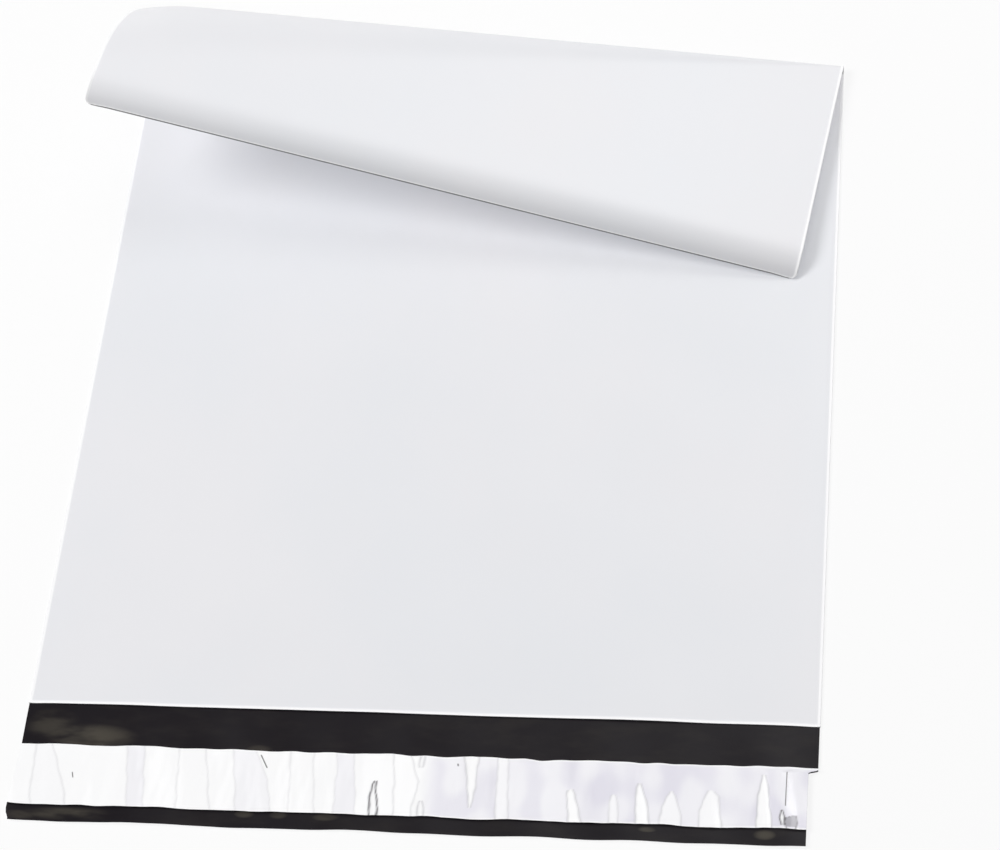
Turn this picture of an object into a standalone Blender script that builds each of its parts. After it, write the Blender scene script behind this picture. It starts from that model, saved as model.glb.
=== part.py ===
"""Poly mailer bag, empty, lying on its back panel with its closed end rolled over onto its front.

X runs across the bag and +Y from the flap to the closed end. The origin is on the underside of the
back panel, below the middle of the mouth edge. Flat places on the film are a distance along the bag
from the mouth edge: the flap is below zero and the closed end is at BAG_LENGTH.
"""

import math

import bmesh
import bpy
from mathutils import Matrix, Vector

# The film body, in metres.
BAG_WIDTH = 0.305
BAG_LENGTH = 0.457
FLAP_DEPTH = 0.0519
FILM_GAUGE = 0.0000635
POCKET_GAP = 0.0003
SIDE_WELD = 0.003
WELD_RAMP = 0.004

# The closure on the inner face of the flap. LAYER_GAP keeps each layer clear of the one below it, and
# LINER_BORDER is the film that shows between the liner and the flap's tip.
LAYER_GAP = 0.0003
LINER_BORDER = 0.0067
LINER_DEPTH = 0.0265
LINER_THICKNESS = 0.00005
ADHESIVE_DEPTH = 0.018
ADHESIVE_THICKNESS = 0.00005
ADHESIVE_END_MARGIN = 0.003

# The rolled end. Each pair is for the left and the right edge. The lengths follow one another back from
# the closed end, so that the fold lines never cross: the film droops over the lip, lies flat over the
# tail, bends gently over the fan and turns tightly over the roll.
LIP_LENGTH = 0.021
TAIL_LENGTH = (0.0026, 0.0988)
FAN_LENGTH = (0.0614, 0.0009)
ROLL_LENGTH = (0.0583, 0.006)
ROLL_TURN = math.radians(133.7)
LIP_TURN = math.radians(47)
CORNER_CLEARANCE = 0.0003

# How finely the bends are divided.
ROLL_FACETS = 22
FAN_FACETS = 16
LIP_FACETS = 12
END_FOLD_FACETS = 6
CORNER_SEARCH_STEPS = 40
WELD_DISTANCE = 1e-6

PLY_STACK = 2 * FILM_GAUGE


def between(near, far, share):
    return near + (far - near) * share


def back_along(places, lengths):
    """The places at the left and the right edge that lie these lengths nearer to the mouth."""
    return [place - length for place, length in zip(places, lengths)]


def fold_lines(fan_turn):
    """The straight lines that the flat film bends along, as (left place, right place, turn)."""
    closed_end = [BAG_LENGTH] * 2
    lip = back_along(closed_end, [LIP_LENGTH] * 2)
    tail = back_along(lip, TAIL_LENGTH)
    fan = back_along(tail, FAN_LENGTH)
    roll = back_along(fan, ROLL_LENGTH)
    zones = (
        (roll, fan, ROLL_TURN, ROLL_FACETS),
        (fan, tail, fan_turn, FAN_FACETS),
        (lip, closed_end, LIP_TURN, LIP_FACETS),
    )
    lines = []
    for near, far, turn, facets in zones:
        for index in range(facets):
            share = (index + 0.5) / facets
            left = between(near[0], far[0], share)
            right = between(near[1], far[1], share)
            lines.append((left, right, turn / facets))
    return lines


class Row:
    """A straight line across the bent film, from which points at any height off the film are placed."""

    def __init__(self, left, right, before, after):
        self.left = left
        self.right = right
        self.bend = before
        normals = [(matrix.to_3x3() @ Vector((0, 0, 1))) for matrix in (before, after)]
        self.lift = (normals[0] + normals[1]) / (1 + normals[0].dot(normals[1]))

    def place(self, x):
        return between(self.left, self.right, x / BAG_WIDTH + 0.5)

    def point(self, x, height, inset=0.0):
        return self.bend @ Vector((x, self.place(x) - inset, 0)) + self.lift * height


def bent_rows(fan_turn):
    """The rows of the bag from the mouth edge to the closed end, with the film bent at each fold line."""
    bend = Matrix.Identity(4)
    rows = [Row(0, 0, bend, bend)]
    for left, right, turn in fold_lines(fan_turn):
        line = Vector((BAG_WIDTH, right - left, 0)).normalized()
        pivot = Matrix.Translation((0, (left + right) / 2, 0))
        after = bend @ pivot @ Matrix.Rotation(turn, 4, line) @ pivot.inverted()
        rows.append(Row(left, right, bend, after))
        bend = after
    rows.append(Row(BAG_LENGTH, BAG_LENGTH, bend, bend))
    return rows


def resting_fan_turn():
    """How far the gentle bend turns until the free right corner lies on the front panel."""
    low, high = 0.0, math.pi / 2
    for _ in range(CORNER_SEARCH_STEPS):
        middle = (low + high) / 2
        corner = bent_rows(middle)[-1].point(BAG_WIDTH / 2, PLY_STACK)
        if corner.z > PLY_STACK + CORNER_CLEARANCE:
            low = middle
        else:
            high = middle
    return (low + high) / 2


def pocket_opening(x):
    """The space between the panels, from nothing at a side weld to POCKET_GAP past its ramp."""
    from_weld = BAG_WIDTH / 2 - SIDE_WELD - abs(x)
    return POCKET_GAP * min(max(from_weld / WELD_RAMP, 0.0), 1.0)


def add_skin(mesh, lines):
    """Faces between neighbouring lines of points."""
    grid = [[mesh.verts.new(point) for point in line] for line in lines]
    for line, following in zip(grid, grid[1:]):
        for index in range(len(line) - 1):
            mesh.faces.new((line[index], line[index + 1], following[index + 1], following[index]))


def fold_arc(row, x, height, radius, inset):
    """A half circle of points around the closed end, from one height up to two radii above it."""
    points = []
    for step in range(END_FOLD_FACETS + 1):
        angle = math.pi * step / END_FOLD_FACETS
        reach = inset - radius * math.sin(angle)
        points.append(row.point(x, height + radius * (1 - math.cos(angle)), reach))
    return points


def add_film(mesh):
    half = BAG_WIDTH / 2
    pocket_sides = [half - SIDE_WELD, half - SIDE_WELD - WELD_RAMP]
    pocket = [-pocket_sides[0], -pocket_sides[1], pocket_sides[1], pocket_sides[0]]
    full = [-half, *pocket, half]
    rows = bent_rows(resting_fan_turn())
    mouth, end = rows[0], rows[-1]
    tip = Row(-FLAP_DEPTH, -FLAP_DEPTH, mouth.bend, mouth.bend)

    def end_radius(x):
        return FILM_GAUGE + pocket_opening(x) / 2

    def line(row, stations, height):
        return [row.point(x, height(x), end_radius(x) if row is end else 0.0) for x in stations]

    def outside_back(x):
        return 0.0

    def inside_back(x):
        return FILM_GAUGE

    def inside_front(x):
        return FILM_GAUGE + pocket_opening(x)

    def outside_front(x):
        return PLY_STACK + pocket_opening(x)

    add_skin(mesh, [line(row, full, outside_back) for row in [tip, *rows]])
    add_skin(mesh, [line(row, full, inside_back) for row in (tip, mouth)])
    add_skin(mesh, [line(row, pocket, inside_back) for row in rows])
    add_skin(mesh, [line(row, pocket, inside_front) for row in rows])
    add_skin(mesh, [line(row, full, outside_front) for row in rows])
    add_skin(mesh, [line(tip, full, height) for height in (outside_back, inside_back)])
    add_skin(mesh, [line(mouth, full, height) for height in (inside_front, outside_front)])

    plies = (outside_back, inside_back, outside_front)
    for side in (-half, half):
        add_skin(mesh, [[line(row, [side], height)[0] for row in (tip, mouth)] for height in plies[:2]])
        add_skin(mesh, [[line(row, [side], height)[0] for row in rows] for height in plies])
        cap = [*fold_arc(end, side, 0.0, FILM_GAUGE, FILM_GAUGE), end.point(side, FILM_GAUGE, FILM_GAUGE)]
        mesh.faces.new([mesh.verts.new(point) for point in cap])

    add_skin(mesh, [fold_arc(end, x, 0.0, end_radius(x), end_radius(x)) for x in full])
    add_skin(mesh, [fold_arc(end, x, FILM_GAUGE, pocket_opening(x) / 2, end_radius(x)) for x in pocket])


def add_strip(mesh, width, border, depth, bottom, thickness):
    """A flat strip across the flap, lying border inside the flap's tip."""
    corners = bmesh.ops.create_cube(mesh, size=1.0)["verts"]
    size = Vector((width, depth, thickness))
    centre = Vector((0, border + depth / 2 - FLAP_DEPTH, bottom + thickness / 2))
    for corner in corners:
        corner.co = corner.co * size + centre


def make_piece(name, colour, roughness, build):
    material = bpy.data.materials.new(name)
    material.use_nodes = True
    shader = material.node_tree.nodes["Principled BSDF"]
    shader.inputs["Base Color"].default_value = (*colour, 1.0)
    shader.inputs["Roughness"].default_value = roughness
    shader.inputs["Metallic"].default_value = 0.0

    mesh = bmesh.new()
    build(mesh)
    bmesh.ops.remove_doubles(mesh, verts=mesh.verts, dist=WELD_DISTANCE)
    bmesh.ops.recalc_face_normals(mesh, faces=mesh.faces)
    data = bpy.data.meshes.new(name)
    mesh.to_mesh(data)
    mesh.free()
    data.materials.append(material)
    bpy.context.collection.objects.link(bpy.data.objects.new(name, data))


def make_adhesive_strip(mesh):
    width = BAG_WIDTH - 2 * ADHESIVE_END_MARGIN
    border = LINER_BORDER + (LINER_DEPTH - ADHESIVE_DEPTH) / 2
    bottom = FILM_GAUGE + LAYER_GAP
    add_strip(mesh, width, border, ADHESIVE_DEPTH, bottom, ADHESIVE_THICKNESS)


def make_release_liner(mesh):
    bottom = FILM_GAUGE + LAYER_GAP + ADHESIVE_THICKNESS + LAYER_GAP
    add_strip(mesh, BAG_WIDTH, LINER_BORDER, LINER_DEPTH, bottom, LINER_THICKNESS)


def main():
    for old in list(bpy.data.objects):
        bpy.data.objects.remove(old, do_unlink=True)
    make_piece("mailer_film", (0.80, 0.80, 0.83), 0.35, add_film)
    make_piece("adhesive_strip", (0.85, 0.83, 0.76), 0.25, make_adhesive_strip)
    make_piece("release_liner", (0.88, 0.87, 0.91), 0.12, make_release_liner)


main()
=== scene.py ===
# %% [markdown]
# # A poly mailer bag with its closed end rolled over
# A poly mailer is one long sheet of plastic film, white outside and black inside. It is folded once
# across, welded down both sides, and left open at the mouth. The back panel carries on past the mouth
# as a flap with a strip of adhesive under a peel-off liner.
#
# This lesson starts from the engineering model of the bag, called the frame. The frame fixes where
# everything is. The looks are built around it: finer film, rounded welds, ripples and finishes.

# %% Load the frame
import math

import bmesh
import bpy
import numpy as np
from mathutils import Matrix, Vector


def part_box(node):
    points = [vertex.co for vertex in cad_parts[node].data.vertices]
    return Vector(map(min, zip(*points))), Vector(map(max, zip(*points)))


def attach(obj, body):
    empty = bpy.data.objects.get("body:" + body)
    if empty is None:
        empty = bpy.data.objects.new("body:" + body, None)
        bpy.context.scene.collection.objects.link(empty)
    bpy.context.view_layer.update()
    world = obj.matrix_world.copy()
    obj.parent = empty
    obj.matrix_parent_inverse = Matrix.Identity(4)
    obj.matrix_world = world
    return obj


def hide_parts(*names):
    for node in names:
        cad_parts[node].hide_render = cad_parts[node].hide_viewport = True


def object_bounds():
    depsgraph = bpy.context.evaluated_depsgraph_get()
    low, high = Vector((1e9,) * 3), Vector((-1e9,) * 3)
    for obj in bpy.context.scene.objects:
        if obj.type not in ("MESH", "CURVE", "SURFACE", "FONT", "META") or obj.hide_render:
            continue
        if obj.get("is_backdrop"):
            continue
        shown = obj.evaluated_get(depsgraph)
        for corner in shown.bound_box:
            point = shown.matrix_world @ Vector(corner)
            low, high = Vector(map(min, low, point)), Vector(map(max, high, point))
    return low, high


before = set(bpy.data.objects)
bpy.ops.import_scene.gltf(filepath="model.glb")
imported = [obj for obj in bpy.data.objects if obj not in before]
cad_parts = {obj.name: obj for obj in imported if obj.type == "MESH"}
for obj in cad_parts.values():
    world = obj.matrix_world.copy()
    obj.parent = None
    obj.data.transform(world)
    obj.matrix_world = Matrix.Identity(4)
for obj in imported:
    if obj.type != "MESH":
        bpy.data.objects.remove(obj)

cad_box = [list(corner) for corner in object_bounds()]
print("frame box", cad_box)

# %% [markdown]
# ## The bag's sizes
# Everything here is in metres. The width and the flap are read off the frame. The lengths along the
# film can't be read off a rolled bag, so they are written down: a place on the film is its distance
# from the mouth edge, measured along the film, and the flap is below zero.

# %% Sizes of the film
MM = 0.001
film_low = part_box("mailer_film")[0]
liner_low, liner_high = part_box("release_liner")
glue_low, glue_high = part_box("adhesive_strip")

BAG_WIDTH = liner_high.x - liner_low.x
HALF_WIDTH = BAG_WIDTH / 2
FLAP_DEPTH = -film_low.y
BAG_LENGTH = 0.457
MIDDLE_Y = 0.15
FILM_GAUGE = 0.0000635
print(f"bag {BAG_WIDTH:.3f} by {BAG_LENGTH:.3f}, flap {FLAP_DEPTH:.4f}")

# %% [markdown]
# The roll's lengths come in pairs, for the bag's left and right edges. Back from the closed end they
# are the lip, the flat tail, the gentle bend called the fan, and the roll. All but the lip come from a
# fit of the whole bent sheet to the photo, because the ends of a cone are hard to judge one by one.
# The lip is read from how the film darkens towards its free edge.

# %% Sizes of the roll
LIP_LENGTH = (0.021, 0.021)
TAIL_LENGTH = (0.0026, 0.0988)
FAN_LENGTH = (0.0614, 0.0009)
ROLL_LENGTH = (0.0583, 0.006)
ROLL_TURN = math.radians(133.7)
LIP_TURN = math.radians(68)
film_used = np.sum([LIP_LENGTH, TAIL_LENGTH, FAN_LENGTH, ROLL_LENGTH], axis=0)
print("film beyond the roll's start, left and right:", film_used)

# %% [markdown]
# ## Bending film without stretching it
# Film bends but hardly stretches, so a rolled bag is a flat sheet folded a little along many straight
# lines. Moving points of a grid about by eye would stretch it, and the edges would go wrong. So the
# sheet is walked from the mouth to the closed end, and at each fold line everything beyond is turned
# about that line. Where the lines fan out, the roll comes out as a cone: wide at the left, tight at
# the right.

# %% Fold lines
LEFT, RIGHT = 0, 1
BODY_ROWS = 58
ROLL_ROWS = 48
FAN_ROWS = 36
TAIL_ROWS = 10
LIP_ROWS = 30
LIP_CROWDING = 1.6


def back_along(places, lengths):
    """The places at the left and the right edge that lie these lengths nearer to the mouth."""
    return [place - length for place, length in zip(places, lengths)]


closed_end = [BAG_LENGTH, BAG_LENGTH]
lip_start = back_along(closed_end, LIP_LENGTH)
tail_start = back_along(lip_start, TAIL_LENGTH)
fan_start = back_along(tail_start, FAN_LENGTH)
roll_start = back_along(fan_start, ROLL_LENGTH)


def fold_lines(fan_turn):
    """Each line is (place at the left edge, place at the right edge, turn), from the mouth on."""
    zones = (
        ((0, 0), [min(roll_start)] * 2, 0.0, BODY_ROWS),
        (roll_start, fan_start, ROLL_TURN, ROLL_ROWS),
        (fan_start, tail_start, fan_turn, FAN_ROWS),
        (tail_start, lip_start, 0.0, TAIL_ROWS),
    )
    lines = []
    for near, far, turn, count in zones:
        for share in (np.arange(count) + 0.5) / count:
            left = near[LEFT] + (far[LEFT] - near[LEFT]) * share
            right = near[RIGHT] + (far[RIGHT] - near[RIGHT]) * share
            lines.append((left, right, turn / count))
    return lines + lip_lines()


def lip_lines():
    """The lip's bend grows evenly from nothing, and its rows crowd towards the closed end."""
    bounds = 1 - (1 - np.linspace(0, 1, LIP_ROWS + 1)) ** LIP_CROWDING
    lines = []
    for near, far in zip(bounds, bounds[1:]):
        place = BAG_LENGTH - LIP_LENGTH[LEFT] * (1 - (near + far) / 2)
        lines.append((place, place, LIP_TURN * (far ** 2 - near ** 2)))
    return lines


print(len(fold_lines(1.0)), "fold lines")


# %% [markdown]
# Film with a free side edge sags there a little, because nothing beside it holds it up. The sag is
# taken straight off the height, and it shows where the roll's crest meets the left side. It starts
# where the roll starts and grows more slowly than the film rises, or it would go under the floor.

# %% Sag at the roll's open side
SAG = 0.0046
SAG_REACH = 0.026
SAG_FULL_FROM, SAG_FULL_TO = 0.350, 0.375
SAG_END = 0.435


def ease(value, low, high):
    """0 below low, 1 above high and smooth between."""
    share = np.clip((value - low) / (high - low), 0, 1)
    return share * share * (3 - 2 * share)


def side_sag(x, y):
    """How far the film hangs down at the left side of the crest."""
    near_side = np.clip((SAG_REACH - HALF_WIDTH - x) / SAG_REACH, 0, 1)
    grown = ease(y, roll_start[LEFT], SAG_FULL_FROM)
    faded = ease(y, SAG_FULL_TO, SAG_END)
    return SAG * near_side ** 2 * grown * (1 - faded)


print(f"the side sags by up to {1000 * SAG:.1f} mm")


# %% [markdown]
# The bent film is kept as rows, straight lines across the flat sheet. A point is given by its row, its
# station across and its height off the film. A whole grid then comes out of one product of arrays,
# much faster than a loop over points.

# %% Rows of the bent film
class Rows:
    """Straight lines across the film, and where the bent film puts any point on or above them.

    Each row is (left place, right place, matrix that bends the flat sheet, direction off the film).
    """

    def __init__(self, rows):
        self.left, self.right = (np.array([row[side] for row in rows]) for side in (LEFT, RIGHT))
        self.bend = np.array([row[2] for row in rows])
        self.lift = np.array([row[3] for row in rows])

    def part(self, rows):
        chosen = Rows([])
        chosen.left, chosen.right = self.left[rows], self.right[rows]
        chosen.bend, chosen.lift = self.bend[rows], self.lift[rows]
        return chosen

    def places(self, x):
        """How far along the film each point is, for an array x of stations across it."""
        return self.left[:, None] + (self.right - self.left)[:, None] * (x / BAG_WIDTH + 0.5)

    def points(self, x, height, reach=0.0):
        """Points at stations x, a height off the film and a reach past their row along it."""
        x = np.broadcast_to(x, (len(self.left), np.shape(x)[-1]))
        y = self.places(x) + reach
        flat = np.stack([x, y, np.zeros_like(x), np.ones_like(x)], axis=-1)
        bent = np.einsum("rij,rsj->rsi", self.bend, flat)[..., :3]
        raised = bent + self.lift[:, None, :] * np.broadcast_to(height, x.shape)[..., None]
        raised[..., 2] -= side_sag(x, y)
        return raised


def mitre(before, after):
    """The direction off the film at a fold, long enough to keep both sides' thickness."""
    normals = [matrix.to_3x3() @ Vector((0, 0, 1)) for matrix in (before, after)]
    return (normals[0] + normals[1]) / (1 + normals[0].dot(normals[1]))


def walk_the_film(fan_turn, flap_places=(), mouth_places=()):
    """Rows from the flap's tip, where asked for, to the closed end."""
    bend = Matrix.Identity(4)
    up = Vector((0, 0, 1))
    rows = [(place, place, bend, up) for place in (*flap_places, 0.0, *mouth_places)]
    for left, right, turn in fold_lines(fan_turn):
        line = Vector((BAG_WIDTH, right - left, 0)).normalized()
        pivot = Matrix.Translation((0, (left + right) / 2, 0))
        after = bend @ pivot @ Matrix.Rotation(turn, 4, line) @ pivot.inverted()
        rows.append((left, right, bend, mitre(bend, after)))
        bend = after
    rows.append((BAG_LENGTH, BAG_LENGTH, bend, mitre(bend, bend)))
    return Rows(rows)


# %% [markdown]
# ## Waves that film really has
# Film is never quite flat. Air lies between the panels, and the flap has been handled. A few sine
# waves with different lengths and headings make a swell that never repeats within the bag. A noise
# texture could do the same in a shader, but then the outline would stay dead straight.

# %% Swells
def make_waves(seed, count, shortest, longest, spread=180.0):
    """Waves as (numbers across, numbers along, phase). They head within spread degrees about +X."""
    dice = np.random.default_rng(seed)
    number = 2 * math.pi / np.exp(dice.uniform(math.log(shortest), math.log(longest), count))
    angle = np.radians(dice.uniform(-spread / 2, spread / 2, count))
    return number * np.cos(angle), number * np.sin(angle), dice.uniform(0, 2 * math.pi, count)


def swell(waves, x, y):
    """The waves' sum at flat places x, y, mostly between -1 and 1."""
    across, along, phase = waves
    total = np.zeros(np.broadcast(x, y).shape)
    for a, b, p in zip(across, along, phase):
        total = total + np.sin(a * x + b * y + p)
    return total / math.sqrt(2 * len(phase))


panel_waves = make_waves(3, 9, 0.06, 0.24)
air_waves = make_waves(11, 8, 0.05, 0.20)
flap_waves = make_waves(5, 10, 0.028, 0.11, spread=70)
tip_waves = make_waves(21, 8, 0.014, 0.06, spread=30)
print("the panels' swell in the middle:", swell(panel_waves, 0.0, MIDDLE_Y))

# %% [markdown]
# ## Heights of the film's layers
# Four surfaces make the bag: the back panel outside and inside, and the front panel inside and
# outside. Each is a height off the bent sheet. At the sides the two panels are welded by a hot knife,
# which leaves a rounded bead, so the stack grows thicker over the last half millimetre.

# %% Layer heights
BEAD = 0.00022
BEAD_REACH = 0.0006
POCKET_GAP = 0.0003
SIDE_WELD = 0.003
WELD_RAMP = 0.006
PANEL_SWELL = 0.0005
AIR_SWELL = 0.0006
FLAP_SWELL = 0.0007
TIP_SWELL = 0.5 * FLAP_SWELL
FLAP_LIFT = 1.2
END_BULGE = 0.0005
END_BULGE_REACH = 0.003
MOUTH_BEAD = 0.00018
SIDE_CALM = 0.03
AIR_FROM, AIR_TO = 0.005, 0.05
AIR_LOST = 0.8

# Where one kind of surface goes over into the next.
FLAP_ZONE = (-0.012, 0.004)
TIP_ZONE = (-0.05, -0.03)
AIR_ZONE = (0.29, 0.33)
ROLL_ZONE = (0.30, 0.33)


def side_bead(x):
    return BEAD * np.exp(-((HALF_WIDTH - np.abs(x)) / BEAD_REACH) ** 2)


def flap_share(y):
    """1 on the flap and 0 on the panels."""
    return 1 - ease(y, *FLAP_ZONE)


def back_outside(x, y):
    inside_edges = ease(HALF_WIDTH - np.abs(x), 0.0, SIDE_CALM)
    panels = PANEL_SWELL * (1 + swell(panel_waves, x, y)) / 2 * inside_edges
    flap = FLAP_SWELL * (FLAP_LIFT + swell(flap_waves, x, y)) / 2
    tip = TIP_SWELL * (FLAP_LIFT + swell(tip_waves, x, y)) / 2 * (1 - ease(y, *TIP_ZONE))
    loose = flap_share(y)
    rolled = ease(y, *ROLL_ZONE)
    return BEAD + np.maximum(panels, 0) * (1 - rolled) * (1 - loose) + np.maximum(flap + tip, 0) * loose


def back_inside(x, y):
    return back_outside(x, y) + FILM_GAUGE


def pocket_gap(x, y):
    ramp = ease(HALF_WIDTH - SIDE_WELD - np.abs(x), 0.0, WELD_RAMP)
    air = AIR_SWELL * (1 + swell(air_waves, x, y)) / 2 * ease(HALF_WIDTH - np.abs(x), AIR_FROM, AIR_TO)
    calm = 1 - AIR_LOST * ease(y, *AIR_ZONE)
    bulge = END_BULGE * np.exp(-((BAG_LENGTH - y) / END_BULGE_REACH) ** 2)
    return ramp * (POCKET_GAP + np.maximum(air, 0) * calm + bulge)


def front_inside(x, y):
    return back_inside(x, y) + pocket_gap(x, y)


def front_outside(x, y):
    mouth_bead = MOUTH_BEAD * np.exp(-(y / BEAD_REACH) ** 2)
    return front_inside(x, y) + FILM_GAUGE + side_bead(x) + mouth_bead


def back_underside(x, y):
    return back_outside(x, y) - side_bead(x) * (1 - flap_share(y))


print("stack in the middle:", front_outside(0.0, MIDDLE_Y) - back_underside(0.0, MIDDLE_Y))

# %% [markdown]
# One turn is not chosen but found. The free right corner rests on the front panel, so the gentle
# bend is turned until the lip comes down to the panel's top. Both have their real swells and
# thickness here. A test against the frame's plain sheet would push the thicker film through the
# panel. Halving the range each time finds the turn to far better than the film's own thickness.

# %% Let the free corner come to rest
REST_GAP = 0.0001
SEARCH_STEPS = 40
LIP_TESTS = 60
lip_across = np.linspace(0.0, HALF_WIDTH, LIP_TESTS)


def lip_clearance(fan_turn):
    """The least height of the lip's right half above the front panel."""
    lip = walk_the_film(fan_turn).part(slice(-LIP_ROWS, None))
    points = lip.points(lip_across, front_outside(lip_across, lip.places(lip_across)))
    return (points[..., 2] - front_outside(points[..., 0], points[..., 1])).min()


def resting_turn():
    low, high = 0.0, math.pi / 2
    for _ in range(SEARCH_STEPS):
        middle = (low + high) / 2
        low, high = (middle, high) if lip_clearance(middle) > REST_GAP else (low, middle)
    return middle


FAN_TURN = resting_turn()
print(f"the gentle bend turns {math.degrees(FAN_TURN):.1f} degrees")
print(f"the lip clears the panel by {1000 * lip_clearance(FAN_TURN):.3f} mm")


# %% [markdown]
# ## Sewing grids into one closed film
# Each surface is a grid of points. Where two surfaces meet they hold the same points, so joining equal
# points closes the mesh, and a grid that narrows to a line drops its flat faces by itself. Blender's
# Solidify would give a sheet its thickness more simply, but it can't make a pocket.

# %% How close is equal, and which edges stay sharp
JOIN_STEP = 1e-7
SHARP_ANGLE = math.radians(35)
print("points within", JOIN_STEP, "m are one")

# %% A shell made of grids
def put_in_scene(name, data):
    made = bpy.data.objects.new(name, data)
    bpy.context.collection.objects.link(made)
    return made


class Shell:
    """Collects grids of points, each with its place on the flat film, and joins them into one mesh.

    Marks are named numbers on the points, such as how much of a cut edge a point is.
    """

    def __init__(self, *marks):
        self.points, self.flats, self.faces, self.slots = [], [], [], []
        self.marks = {name: [] for name in marks}
        self.count = 0

    def _hold(self, points, flats, marks):
        shape = points.shape[:-1]
        self.points.append(points.reshape(-1, 3))
        self.flats.append(np.broadcast_to(flats, (*shape, 2)).reshape(-1, 2))
        for name, held in self.marks.items():
            held.append(np.broadcast_to(marks.get(name, 0.0), shape).reshape(-1))
        first = self.count
        self.count += points[..., 0].size
        return np.arange(first, self.count).reshape(shape)

    def grid(self, points, flats, slot=0, **marks):
        index = self._hold(points, flats, marks)
        quads = np.stack([index[:-1, :-1], index[:-1, 1:], index[1:, 1:], index[1:, :-1]], axis=-1)
        self.faces.extend(quads.reshape(-1, 4).tolist())
        self.slots.extend([slot] * quads[..., 0].size)

    def cap(self, points, flats, slot=0, **marks):
        self.faces.append(self._hold(points, flats, marks).tolist())
        self.slots.append(slot)

    def joined_faces(self, index):
        """The faces with their corners renumbered, without the ones that came out flat."""
        for face, slot in zip(self.faces, self.slots):
            kept = [int(index[corner]) for corner in face]
            kept = [corner for place, corner in enumerate(kept) if corner != kept[place - 1]]
            if len(kept) > 2:
                yield kept, slot

    def make(self, name, finishes):
        """Joins equal points, turns every face outwards and adds the finishes."""
        points = np.concatenate(self.points)
        steps = np.round(points / JOIN_STEP).astype(np.int64)
        _, first, index = np.unique(steps, axis=0, return_index=True, return_inverse=True)
        faces, slots = zip(*self.joined_faces(index.reshape(-1)))
        mesh = bpy.data.meshes.new(name)
        mesh.from_pydata(points[first].tolist(), [], faces)
        mesh.polygons.foreach_set("material_index", slots)
        for mark, held in self.marks.items():
            values = np.concatenate(held)[first].astype(np.float32)
            mesh.attributes.new(mark, "FLOAT", "POINT").data.foreach_set("value", values)
        corners = np.empty(len(mesh.loops), np.int32)
        mesh.loops.foreach_get("vertex_index", corners)
        flats = np.concatenate(self.flats)[first][corners].astype(np.float32)
        mesh.uv_layers.new(name="flat_film").uv.foreach_set("vector", flats.reshape(-1))
        turn_faces_out(mesh)
        for finish in finishes:
            mesh.materials.append(finish)
        mesh.shade_smooth()
        mesh.set_sharp_from_angle(angle=SHARP_ANGLE)
        print(f"{name}: {len(mesh.vertices)} points, {len(mesh.polygons)} faces")
        return put_in_scene(name, mesh)


def turn_faces_out(mesh):
    work = bmesh.new()
    work.from_mesh(mesh)
    bmesh.ops.recalc_face_normals(work, faces=work.faces)
    work.to_mesh(mesh)
    work.free()


# %% [markdown]
# ## Shader maths as plain Python
# A finish is a graph of nodes, and graphs are hard to read in a script. So one small class wraps a
# socket. Adding or multiplying two wrapped sockets adds the Math node for it, and the recipe for a
# finish reads as a formula.

# %% Wires and finishes
class Wire:
    """One socket's output in a finish, for use in sums."""

    def __init__(self, finish, socket):
        self.finish = finish
        self.socket = socket

    def __add__(self, other):
        return self.finish.maths("ADD", self, other)

    __radd__ = __add__

    def __sub__(self, other):
        return self.finish.maths("SUBTRACT", self, other)

    def __rsub__(self, other):
        return self.finish.maths("SUBTRACT", other, self)

    def __mul__(self, other):
        return self.finish.maths("MULTIPLY", self, other)

    __rmul__ = __mul__

    def __truediv__(self, other):
        return self.finish.maths("DIVIDE", self, other)

    def __abs__(self):
        return self.finish.maths("ABSOLUTE", self)


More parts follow.
